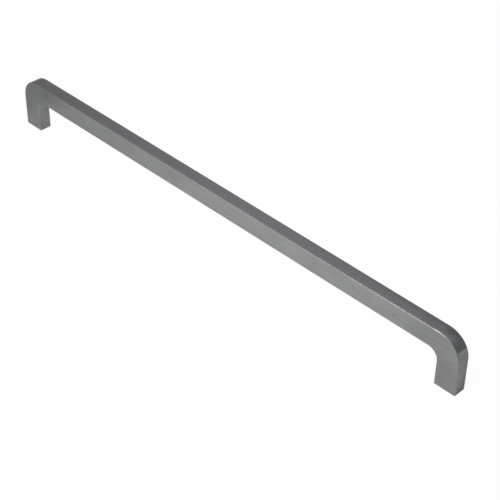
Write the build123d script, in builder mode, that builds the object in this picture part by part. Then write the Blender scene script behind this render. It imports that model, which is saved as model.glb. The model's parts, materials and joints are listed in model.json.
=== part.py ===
from build123d import *
import os
from math import radians, tan

# One-piece bow pull for a drawer or a cabinet door, in millimetres.
# X runs along the bar, Y across it and Z out from the door.
# The origin lies on the door's face, midway between the two screw holes.

# Driving dimensions of the bow
hole_pitch = 320.0
leg_width = 13.0
bar_height = 12.0
thickness = 7.5
projection = 33.0
outer_bend_radius = 13.0
inner_bend_radius = 6.0
edge_round = 0.35
foot_chamfer = 0.3

# Driving dimensions of the screw holes, tapped for a 4 mm machine screw
thread_diameter = 4.0
pilot_diameter = 3.3
thread_depth = 11.0
tap_lead = 0.8
pilot_run_out = 2.2
countersink_diameter = 4.8
countersink_angle = 90.0
drill_point_angle = 118.0

# Sizes that follow from them
overall_length = hole_pitch + leg_width
gap_length = hole_pitch - leg_width
finger_clearance = projection - bar_height
thread_radius = thread_diameter / 2
pilot_radius = pilot_diameter / 2
countersink_radius = countersink_diameter / 2
countersink_depth = (countersink_radius - thread_radius) / tan(radians(countersink_angle / 2))
pilot_depth = thread_depth + tap_lead + pilot_run_out
drill_point_height = pilot_radius / tan(radians(drill_point_angle / 2))

# Screw hole: a turned form with its mouth at the origin and its blind end above.
# The wall up to thread_depth stands where the thread's roots are.
with BuildPart() as screw_hole:
    with BuildSketch(Plane.XZ):
        with BuildLine():
            Polyline(
                (0, 0),
                (countersink_radius, 0),
                (thread_radius, countersink_depth),
                (thread_radius, thread_depth),
                (pilot_radius, thread_depth + tap_lead),
                (pilot_radius, pilot_depth),
                (0, pilot_depth + drill_point_height),
                close=True,
            )
        make_face()
    revolve(axis=Axis.Z)

# Bow: bar and legs are one profile, seen from the front and as thick as the bar
with BuildPart() as pull:
    with BuildSketch(Plane.XZ) as profile:
        with Locations((0, projection / 2)):
            Rectangle(overall_length, projection)
        with Locations((0, finger_clearance / 2)):
            Rectangle(gap_length, finger_clearance, mode=Mode.SUBTRACT)
        # Corners by height: the feet, then the gap's two, then the bar's outer two
        fillet(profile.vertices().group_by(Axis.Y)[1], radius=inner_bend_radius)
        fillet(profile.vertices().group_by(Axis.Y)[-1], radius=outer_bend_radius)
    extrude(amount=thickness / 2, both=True)

    # The long edges of the front and the back are softened, from foot to foot
    side_edges = pull.faces().filter_by(Axis.Y).edges()
    foot_edges = pull.faces().group_by(Axis.Z)[0].edges()
    fillet(side_edges - foot_edges, radius=edge_round)

    # The ground feet keep a flat face with a light break round it
    chamfer(pull.faces().group_by(Axis.Z)[0].edges(), length=foot_chamfer)

    # One blind screw hole on the centre line of each leg
    with GridLocations(hole_pitch, 0, 2, 1):
        add(screw_hole.part, mode=Mode.SUBTRACT)

pull.part.label = "pull"

os.makedirs("parts", exist_ok=True)
export_step(pull.part, "parts/pull.step")
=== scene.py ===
"""Looks for the cabinet pull: satin metal, threads in the feet, a white table and a soft studio."""
import json
import math

import bmesh
import bpy
from mathutils import Matrix, Vector


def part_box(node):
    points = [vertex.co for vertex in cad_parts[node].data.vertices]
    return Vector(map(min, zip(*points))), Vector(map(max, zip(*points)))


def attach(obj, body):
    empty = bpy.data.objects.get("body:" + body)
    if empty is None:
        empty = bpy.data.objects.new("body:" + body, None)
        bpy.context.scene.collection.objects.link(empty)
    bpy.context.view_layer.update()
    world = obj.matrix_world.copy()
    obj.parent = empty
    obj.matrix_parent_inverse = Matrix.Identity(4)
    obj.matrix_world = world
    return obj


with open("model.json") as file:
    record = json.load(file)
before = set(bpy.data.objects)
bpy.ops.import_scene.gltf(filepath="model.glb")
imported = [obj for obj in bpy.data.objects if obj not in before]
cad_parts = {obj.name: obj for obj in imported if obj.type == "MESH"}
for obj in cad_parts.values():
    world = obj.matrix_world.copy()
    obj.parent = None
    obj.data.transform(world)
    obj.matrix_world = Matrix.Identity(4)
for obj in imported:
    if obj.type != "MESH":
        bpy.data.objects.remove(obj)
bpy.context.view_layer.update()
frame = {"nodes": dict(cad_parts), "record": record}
pull_low, pull_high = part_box("pull")

MM = 0.001
WHITE = (1.0, 1.0, 1.0, 1.0)

# A pair of places, angles or shares says where a change begins and where it is complete.

# Camera, fitted to the photo: metres and degrees, with its sensor in millimetres
CAMERA_AT = Vector((0.44067, -0.42249, 0.47374))
CAMERA_AIM = Vector((0.04135, -0.01883, 0.02700))
CAMERA_ROLL = 0.963
CAMERA_FIELD = 20.116
CAMERA_SENSOR = 36.0
CAMERA_NEAREST = 0.01
CAMERA_FARTHEST = 50.0

# Outline of the pull as seen from the front, with the bends and the finger gap of the part's source
FRONT_Y = pull_low[1]
END_X = pull_high[0]
TOP_Z = pull_high[2]
OUTER_BEND = 13.0 * MM
INNER_BEND = 6.0 * MM
GAP_HALF = 153.5 * MM
GAP_HEIGHT = 21.0 * MM

# Screw thread, M4 coarse: the bore's wall stands at the roots of the thread
THREAD_PITCH = 0.7 * MM
THREAD_ROOT_RADIUS = 2.0 * MM
THREAD_CREST_RADIUS = 1.65 * MM
THREAD_HALF_ROOT = 0.44 * THREAD_PITCH
THREAD_HALF_CREST = 0.13 * THREAD_PITCH
THREAD_START = 0.5 * MM
THREAD_END = 11.0 * MM
THREAD_STEPS_PER_TURN = 40
THREAD_FADE_TURNS = 2.0
THREAD_LEAST_RISE = 0.02

# Satin finish: its colour, and each texture's size, its stretch along the bar and its detail
METAL_COLOUR = (0.308, 0.318, 0.304, 1.0)
LINE_WIDTH = 0.20 * MM
LINE_DEPTH = 0.012 * MM
LINE_STRETCH = 0.02
LINE_DETAIL = 2.0
GRAIN_SIZE = 0.6 * MM
GRAIN_STRETCH = 0.7
GRAIN_DETAIL = 3.0
CLOUD_SIZE = 14.0 * MM
CLOUD_STRETCH = 0.5
CLOUD_DETAIL = 2.0
NOISE_MIDDLE = 0.5
NOISE_SPAN = (0.3, 0.7)

# What the textures do: how much they change the tone, and their roughness from low to high
TOP_MOTTLE = 0.24
SIDE_MOTTLE = 0.39
GRAIN_ROUGHNESS = (0.11, 0.14)
CLOUD_ROUGHNESS = (-0.01, 0.01)
EDGE_ROUGHNESS = 0.82

# Crown of the top face: its curvature per metre, and how far up a face looks to have it
CROWN = 28.0
CROWN_UP = (0.50, 0.78)

# Where a face counts as front or back, and as flat: by the square of its normal's Y
SIDE_FROM = (0.4, 0.6)
FLAT_FROM = (0.90, 0.98)

# Where an edge takes its painted colour, and where it is dull: 0 on the faces, 1 midway round the
# edge
EDGE_FROM = (0.25, 0.95)
DULL_FROM = (0.02, 0.30)

# Colours of the rounded edges by height: a painted highlight low down, painted shade on the bar's
# top
LOW_EDGE_HIGHLIGHT_COLOUR = (0.500, 0.505, 0.490, 1.0)
TOP_EDGE_SHADE_COLOUR = (0.175, 0.182, 0.182, 1.0)
TOP_EDGE_Z = (0.0205, 0.0240)

# Painted highlight: a pale rim on front and back, brighter up on the bar to the right bend, and a
# glint spot
RIM_WIDTH = (0.90 * MM, 0.50 * MM)
RIM_HIGHLIGHT_COLOUR = (0.318, 0.326, 0.312, 1.0)
RIM_SHEEN_COLOUR = (0.400, 0.402, 0.375, 1.0)
RIM_GLINT_COLOUR = (0.535, 0.538, 0.502, 1.0)
EDGE_GLINT_COLOUR = (0.540, 0.545, 0.520, 1.0)
SHEEN_START_X = (-0.075, 0.000)
GLINT_GROWTH_X = (0.050, 0.150)
SHEEN_END_X = (0.1630, 0.1555)
GLINT_SPOT_AT = (0.1523, FRONT_Y, TOP_Z)
GLINT_SPOT_REACH = (5.7 * MM, 0.0)
GLINT_SPOT_COLOUR = (0.92, 0.93, 0.94, 1.0)
EDGE_GLINT_SPOT_COLOUR = (0.830, 0.840, 0.850, 1.0)

# Pits in the front as painted shade: tone left at the bottom, the bottom's share of the radius,
# place, radius
PIT_SHADE = 0.46
PIT_BOTTOM = 0.4
PITS = (
    ((0.1254, FRONT_Y, 0.0263), 0.64 * MM),
    ((0.1157, FRONT_Y, 0.0255), 0.30 * MM),
)

# Room that the metal mirrors: dark behind the pull and to its right, with a pale ceiling and left
# wall, a dimmer far left corner and a brown spot. A pair is the X or Y of a unit vector that points
# into the room, the sum of both for the corner's start and end, and degrees for the spot.
ROOM_DARK = (0.255, 0.276, 0.300, 1.0)
ROOM_PALE = (0.542, 0.530, 0.585, 1.0)
CEILING_END_Y = (0.72, 0.42)
CEILING_END_X = (0.74, 0.32)
WALL_START_X = (-0.01, -0.76)
WALL_FADE_X = (-0.54, -0.74)
WALL_FADE = 0.62
CORNER_START = (0.17, 0.27)
CORNER_END = (0.38, 0.30)
CORNER_Y = (0.60, 0.68)
CORNER_COLOUR = (0.395, 0.387, 0.427, 1.0)
SPOT_WAY = (-0.048, 0.707, 0.706)
SPOT_ANGLES = (11.2, 10.3)
SPOT_COLOUR = (0.287, 0.272, 0.254, 1.0)

# Table with a paler sheet under the pull. The shares say how much of it is plain white: to the
# camera near the pull, while farther away it is all white, and in the metal's reflection near the
# pull; to the right it glows in that reflection, a painted pool of light.
TABLE_SIZE = 40.0
TABLE_CELLS = 8
TABLE_COLOUR = (0.59, 0.59, 0.59, 1.0)
SHEET_COLOUR = (0.82, 0.82, 0.82, 1.0)
SHEET_LEFT_X = (-0.186, -0.162)
SHEET_RIGHT_X = (0.184, 0.170)
TABLE_CAMERA_SHARE = 0.97
TABLE_FAR = (0.20, 0.50)
TABLE_GLOSS_SHARE = 0.09
TABLE_RIGHT_GLOW_SHARE = 0.50
TABLE_RIGHT_X = (0.185, 0.36)

# Lamps: where they stand and aim, their width and depth, and their spread in degrees
LAMPS = {
    "key_softbox": {
        "at": (0.0, -0.34, 0.36),
        "aim": (0.035, -0.07, 0.0),
        "size": (0.10, 0.30),
        "watts": 0.185,
        "spread": 60.0,
    },
    "fill_softbox": {
        "at": (-0.10, -0.45, 0.50),
        "aim": (0.05, 0.0, 0.02),
        "size": (0.25, 0.25),
        "watts": 1.24,
        "spread": 180.0,
    },
}


class Tree:
    """A node tree with short calls for adding and joining nodes."""

    def __init__(self, tree):
        self.tree = tree
        tree.nodes.clear()

    def node(self, kind, inputs=None, **settings):
        """Add a node with its settings, and give its inputs a value or a link."""
        made = self.tree.nodes.new(kind)
        for name, value in settings.items():
            setattr(made, name, value)
        for name, value in (inputs or {}).items():
            self.put(made.inputs[name], value)
        return made

    def put(self, socket, value):
        """Link the socket to another one, or set its own value."""
        if isinstance(value, bpy.types.NodeSocket):
            self.tree.links.new(value, socket)
        else:
            socket.default_value = value

    def math(self, operation, *values, clamp=False):
        made = self.node("ShaderNodeMath", operation=operation, use_clamp=clamp)
        for socket, value in zip(made.inputs, values):
            self.put(socket, value)
        return made.outputs[0]

    def product(self, first, *others):
        for value in others:
            first = self.math("MULTIPLY", first, value)
        return first

    def vector(self, operation, *values, output="Vector"):
        made = self.node("ShaderNodeVectorMath", operation=operation)
        for socket, value in zip(made.inputs, values):
            self.put(socket, value)
        return made.outputs[output]

    def scaled(self, colour, share):
        made = self.node("ShaderNodeVectorMath", {0: colour, "Scale": share}, operation="SCALE")
        return made.outputs[0]

    def spread(self, value, span, to=(0.0, 1.0), smooth=False):
        """Run from one result to the other as the value crosses the span, and stay level beyond."""
        made = self.node("ShaderNodeMapRange", {
            "Value": value,
            "From Min": span[0],
            "From Max": span[1],
            "To Min": to[0],
            "To Max": to[1],
        }, interpolation_type="SMOOTHSTEP" if smooth else "LINEAR")
        return made.outputs["Result"]

    def mix_colour(self, share, first, second):
        made = self.node("ShaderNodeMix", data_type="RGBA")
        self.put(made.inputs[0], share)
        self.put(made.inputs[6], first)
        self.put(made.inputs[7], second)
        return made.outputs[2]

    def mix_value(self, share, first, second):
        made = self.node("ShaderNodeMix", data_type="FLOAT")
        self.put(made.inputs[0], share)
        self.put(made.inputs[2], first)
        self.put(made.inputs[3], second)
        return made.outputs[0]


def stretched_noise(t, position, scale, size, detail):
    """Noise with its own stretch along each axis. The size is its grain across the stretch."""
    moved = t.node("ShaderNodeMapping", {"Vector": position, "Scale": scale})
    made = t.node("ShaderNodeTexNoise", {
        "Vector": moved.outputs[0],
        "Scale": 1.0 / size,
        "Detail": detail,
    })
    return made.outputs["Fac"]


def reach_past(t, place, half_length, height, bend):
    """How far a point lies outside the box whose upper corners are the centres of the bends."""
    beyond_x = t.math("SUBTRACT", t.math("ABSOLUTE", place["X"]), half_length - bend)
    beyond_z = t.math("SUBTRACT", place["Z"], height - bend)
    corner = t.node("ShaderNodeCombineXYZ", {
        "X": t.math("MAXIMUM", beyond_x, 0.0),
        "Z": t.math("MAXIMUM", beyond_z, 0.0),
    })
    return t.vector("LENGTH", corner.outputs[0], output="Value")


def outline_depth(t, place):
    """Distance from the outer outline or from the gap, whichever is nearer, seen from the front."""
    outer = reach_past(t, place, END_X, TOP_Z, OUTER_BEND)
    inner = reach_past(t, place, GAP_HALF, GAP_HEIGHT, INNER_BEND)
    from_outside = t.math("SUBTRACT", OUTER_BEND, outer)
    from_gap = t.math("SUBTRACT", inner, INNER_BEND)
    return t.math("MINIMUM", from_outside, from_gap)


def metal_shade(t, position, texture_sum, mottle):
    """Factor on the colour, from the sum of the three textures and from the painted shade of the
    pits.
    """
    tone = t.product(t.math("SUBTRACT", texture_sum, 3.0 * NOISE_MIDDLE), mottle)
    shade = t.math("ADD", tone, 1.0)
    # Each pit darkens the colour towards its middle: painted shade
    for centre, radius in PITS:
        gap = t.vector("DISTANCE", position, centre, output="Value")
        pit = t.spread(gap, (PIT_BOTTOM * radius, radius), (PIT_SHADE, 1.0), smooth=True)
        shade = t.product(shade, pit)
    return shade


def metal_colour(t, position, place, sideways, edge):
    """Colour of the metal, with painted highlights on rims and edges, painted shade on top edges
    and a painted glint.
    """
    # The spot near the right bend is a painted glint, and the rim's growing brightness a painted
    # highlight
    from_spot = t.vector("DISTANCE", position, GLINT_SPOT_AT, output="Value")
    bright = t.spread(from_spot, GLINT_SPOT_REACH, smooth=True)
    high_up = t.spread(place["Z"], TOP_EDGE_Z, smooth=True)
    before_end = t.product(t.spread(place["X"], SHEEN_END_X, smooth=True), high_up)
    sheen_share = t.product(t.spread(place["X"], SHEEN_START_X, smooth=True), before_end)
    grown = t.product(t.spread(place["X"], GLINT_GROWTH_X, smooth=True), before_end)

    flat = t.spread(sideways, FLAT_FROM)
    on_rim = t.product(flat, t.spread(outline_depth(t, place), RIM_WIDTH, smooth=True))
    rim_colour = t.mix_colour(sheen_share, RIM_HIGHLIGHT_COLOUR, RIM_SHEEN_COLOUR)
    rim_colour = t.mix_colour(grown, rim_colour, RIM_GLINT_COLOUR)
    rim_colour = t.mix_colour(bright, rim_colour, GLINT_SPOT_COLOUR)

    # Edges: a painted highlight low down, and painted shade on the bar's top that dims their glints
    edge_colour = t.mix_colour(high_up, LOW_EDGE_HIGHLIGHT_COLOUR, TOP_EDGE_SHADE_COLOUR)
    edge_colour = t.mix_colour(grown, edge_colour, EDGE_GLINT_COLOUR)
    edge_colour = t.mix_colour(bright, edge_colour, EDGE_GLINT_SPOT_COLOUR)

    # The pale rim along the outline is a painted highlight
    faces = t.mix_colour(on_rim, METAL_COLOUR, rim_colour)
    return t.mix_colour(edge, faces, edge_colour)


def metal_roughness(t, grain, cloud, dull):
    """Roughness that varies a little with grain and cloud. The edges are much duller."""
    from_grain = t.spread(grain, NOISE_SPAN, GRAIN_ROUGHNESS)
    from_cloud = t.spread(cloud, NOISE_SPAN, CLOUD_ROUGHNESS)
    return t.mix_value(dull, t.math("ADD", from_grain, from_cloud), EDGE_ROUGHNESS)


def metal_height(t, place, normal, lines, dull):
    """Height in metres: ground lines that die away on the edges, and a slight crown on top."""
    crown = t.product(place["Y"], place["Y"], -0.5 * CROWN)
    crown = t.product(crown, t.spread(normal["Z"], CROWN_UP, smooth=True))
    ground = t.product(lines, t.spread(dull, (0.0, 1.0), (LINE_DEPTH, 0.0)))
    return t.math("ADD", ground, crown)


def satin_metal():
    """Finely ground metal with lines along the bar and a cloudy tone; its edges, rims and two pits
    carry painted light and shade.
    """
    material = bpy.data.materials.new("satin_metal")
    material.use_nodes = True
    t = Tree(material.node_tree)
    position = t.node("ShaderNodeTexCoord").outputs["Object"]
    place = t.node("ShaderNodeSeparateXYZ", {"Vector": position}).outputs
    facing = t.node("ShaderNodeNewGeometry").outputs["Normal"]
    normal = t.node("ShaderNodeSeparateXYZ", {"Vector": facing}).outputs

    # 1 on the front and back, 0 on the faces between them
    sideways = t.product(normal["Y"], normal["Y"])
    on_side = t.spread(sideways, SIDE_FROM)
    # 0 on all flat faces and 1 midway round a long edge, where the product alone is a quarter
    round_over = t.product(sideways, t.math("SUBTRACT", 1.0, sideways), 4.0)
    edge = t.spread(round_over, EDGE_FROM)
    dull = t.spread(round_over, DULL_FROM)

    lines = t.mix_value(
        on_side,
        stretched_noise(t, position, (LINE_STRETCH, 1.0, LINE_STRETCH), LINE_WIDTH, LINE_DETAIL),
        stretched_noise(t, position, (LINE_STRETCH, LINE_STRETCH, 1.0), LINE_WIDTH, LINE_DETAIL),
    )
    grain = stretched_noise(t, position, (GRAIN_STRETCH, 1.0, 1.0), GRAIN_SIZE, GRAIN_DETAIL)
    cloud = stretched_noise(t, position, (CLOUD_STRETCH, 1.0, 1.0), CLOUD_SIZE, CLOUD_DETAIL)
    texture_sum = t.math("ADD", t.math("ADD", grain, cloud), lines)

    shade = metal_shade(t, position, texture_sum, t.mix_value(on_side, TOP_MOTTLE, SIDE_MOTTLE))
    colour = t.scaled(metal_colour(t, position, place, sideways, edge), shade)
    roughness = metal_roughness(t, grain, cloud, dull)
    height = metal_height(t, place, normal, lines, dull)
    bump = t.node("ShaderNodeBump", {"Strength": 1.0, "Distance": 1.0, "Height": height})

    shader = t.node("ShaderNodeBsdfPrincipled", {
        "Metallic": 1.0,
        "Base Color": colour,
        "Roughness": roughness,
        "Normal": bump.outputs[0],
    })
    t.node("ShaderNodeOutputMaterial", {"Surface": shader.outputs[0]})
    return material


def thread_outline(rise):
    """Section of the ridge, as radii and heights. At a rise of 0 it lies on the wall."""
    crest = THREAD_ROOT_RADIUS - (THREAD_ROOT_RADIUS - THREAD_CREST_RADIUS) * rise
    return (
        (THREAD_ROOT_RADIUS, -THREAD_HALF_ROOT),
        (crest, -THREAD_HALF_CREST),
        (crest, THREAD_HALF_CREST),
        (THREAD_ROOT_RADIUS, THREAD_HALF_ROOT),
    )


def thread(name, centre_x, material):
    """The ridge of an inside screw thread, climbing from the mouth of one bore."""
    mesh = bpy.data.meshes.new(name)
    form = bmesh.new()
    turns = (THREAD_END - THREAD_START) / THREAD_PITCH
    steps = int(turns * THREAD_STEPS_PER_TURN)
    rings = []
    for i in range(steps + 1):
        angle = 2.0 * math.pi * i / THREAD_STEPS_PER_TURN
        height = THREAD_START + THREAD_PITCH * i / THREAD_STEPS_PER_TURN
        # The ridge grows over the first turn, dies away over the last two and is never quite flat
        growth = i / THREAD_STEPS_PER_TURN
        fade = (steps - i) / (THREAD_FADE_TURNS * THREAD_STEPS_PER_TURN)
        rise = max(min(1.0, growth, fade), THREAD_LEAST_RISE)
        rings.append([
            form.verts.new((centre_x + r * math.cos(angle), r * math.sin(angle), height + dz))
            for r, dz in thread_outline(rise)
        ])
    sides = len(rings[0])
    for low, high in zip(rings, rings[1:]):
        for k in range(sides):
            after = (k + 1) % sides
            form.faces.new((low[k], low[after], high[after], high[k]))
    form.faces.new(rings[0])
    form.faces.new(rings[-1][::-1])
    bmesh.ops.recalc_face_normals(form, faces=form.faces[:])
    form.to_mesh(mesh)
    form.free()
    made = bpy.data.objects.new(name, mesh)
    bpy.context.scene.collection.objects.link(made)
    made.data.materials.append(material)
    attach(made, "root")


def dress_pull():
    """Give the pull its metal, and a thread to each of its screw holes."""
    metal = satin_metal()
    pull = frame["nodes"]["pull"]
    for slot in pull.material_slots:
        slot.material = metal
    if not pull.material_slots:
        pull.data.materials.append(metal)
    for mount in frame["record"]["mounts"]:
        if mount["kind"] == "threaded_hole":
            thread(mount["name"].replace("screw_hole", "thread"), mount["pos_m"][0], metal)


def table_material():
    """Matt table and sheet. To the camera they are white, with only a trace of the shadow."""
    material = bpy.data.materials.new("white_table")
    material.use_nodes = True
    t = Tree(material.node_tree)
    path = t.node("ShaderNodeLightPath").outputs
    position = t.node("ShaderNodeTexCoord").outputs["Object"]
    place = t.node("ShaderNodeSeparateXYZ", {"Vector": position}).outputs

    far = t.spread(t.vector("LENGTH", position, output="Value"), TABLE_FAR)
    seen = t.product(path["Is Camera Ray"], t.mix_value(far, TABLE_CAMERA_SHARE, 1.0))
    # To the right the table glows for the metal's reflection only: painted light
    to_right = t.spread(place["X"], TABLE_RIGHT_X)
    gloss = t.mix_value(to_right, TABLE_GLOSS_SHARE, TABLE_RIGHT_GLOW_SHARE)
    mirrored = t.product(path["Is Glossy Ray"], gloss)
    through = t.product(path["Is Transmission Ray"], TABLE_CAMERA_SHARE)
    white_share = t.math("ADD", t.math("ADD", seen, mirrored), through, clamp=True)

    on_sheet = t.product(
        t.spread(place["X"], SHEET_LEFT_X, smooth=True),
        t.spread(place["X"], SHEET_RIGHT_X, smooth=True),
    )
    tone = t.mix_colour(on_sheet, TABLE_COLOUR, SHEET_COLOUR)
    paper = t.node("ShaderNodeBsdfDiffuse", {"Color": tone})
    white = t.node("ShaderNodeEmission", {"Color": WHITE, "Strength": 1.0})
    mixed = t.node("ShaderNodeMixShader", {
        0: white_share,
        1: paper.outputs[0],
        2: white.outputs[0],
    })
    t.node("ShaderNodeOutputMaterial", {"Surface": mixed.outputs[0]})
    return material


def floor():
    """The table that the pull stands on."""
    bpy.ops.mesh.primitive_grid_add(
        x_subdivisions=TABLE_CELLS, y_subdivisions=TABLE_CELLS, size=TABLE_SIZE
    )
    table = bpy.context.object
    table.name = "table"
    table.data.materials.append(table_material())


def softbox(name, at, aim, size, watts, spread):
    """A rectangular lamp that faces a point. The camera doesn't see it."""
    lamp = bpy.data.lights.new(name, "AREA")
    lamp.shape = "RECTANGLE"
    lamp.size, lamp.size_y = size
    lamp.energy = watts
    lamp.spread = math.radians(spread)
    made = bpy.data.objects.new(name, lamp)
    bpy.context.scene.collection.objects.link(made)
    made.location = at
    made.rotation_mode = "QUATERNION"
    made.rotation_quaternion = (Vector(aim) - Vector(at)).to_track_quat("-Z", "Y")
    made.visible_camera = False


def room_colour(t):
    """Colour of the room in every direction."""
    way = t.vector("NORMALIZE", t.node("ShaderNodeTexCoord").outputs["Generated"])
    part = t.node("ShaderNodeSeparateXYZ", {"Vector": way}).outputs
    ceiling = t.product(
        t.spread(part["Y"], CEILING_END_Y, smooth=True),
        t.spread(part["X"], CEILING_END_X, smooth=True),
    )
    wall = t.spread(part["X"], WALL_START_X, smooth=True)
    diagonal = t.math("ADD", part["X"], part["Y"])
    corner = t.product(
        t.spread(diagonal, CORNER_START, smooth=True),
        t.spread(diagonal, CORNER_END, smooth=True),
        t.spread(part["Y"], CORNER_Y, smooth=True),
    )
    pale = t.mix_colour(corner, ROOM_PALE, CORNER_COLOUR)
    room = t.mix_colour(t.math("MAXIMUM", ceiling, wall), ROOM_DARK, pale)
    room = t.scaled(room, t.spread(part["X"], WALL_FADE_X, (1.0, WALL_FADE), smooth=True))

    towards_spot = t.vector("DOT_PRODUCT", way, SPOT_WAY, output="Value")
    spot_edge = [math.cos(math.radians(angle)) for angle in SPOT_ANGLES]
    in_spot = t.spread(towards_spot, spot_edge, smooth=True)
    return t.mix_colour(in_spot, room, SPOT_COLOUR)


def studio():
    """The room, which is plain white to the camera, and the lamps."""
    world = bpy.data.worlds.new("studio")
    bpy.context.scene.world = world
    world.use_nodes = True
    t = Tree(world.node_tree)
    path = t.node("ShaderNodeLightPath").outputs
    seen = t.math("ADD", path["Is Camera Ray"], path["Is Transmission Ray"], clamp=True)
    colour = t.mix_colour(seen, room_colour(t), WHITE)
    light = t.node("ShaderNodeBackground", {"Color": colour, "Strength": 1.0})
    t.node("ShaderNodeOutputWorld", {"Surface": light.outputs[0]})
    for name, lamp in LAMPS.items():
        softbox(name, **lamp)


def camera():
    """The camera that took the photo, as fitted to its outline and edges."""
    lens = bpy.data.cameras.new("camera")
    lens.sensor_fit = "HORIZONTAL"
    lens.sensor_width = CAMERA_SENSOR
    lens.lens = 0.5 * CAMERA_SENSOR / math.tan(math.radians(CAMERA_FIELD) / 2.0)
    lens.clip_start = CAMERA_NEAREST
    lens.clip_end = CAMERA_FARTHEST
    made = bpy.data.objects.new("camera", lens)
    bpy.context.scene.collection.objects.link(made)
    look = (CAMERA_AIM - CAMERA_AT).to_track_quat("-Z", "Y").to_matrix()
    turn = Matrix.Rotation(math.radians(CAMERA_ROLL), 3, "Z")
    made.matrix_world = Matrix.Translation(CAMERA_AT) @ (look @ turn).to_4x4()
    bpy.context.scene.camera = made


dress_pull()
floor()
studio()
camera()
bpy.context.scene.view_settings.view_transform = "Standard"
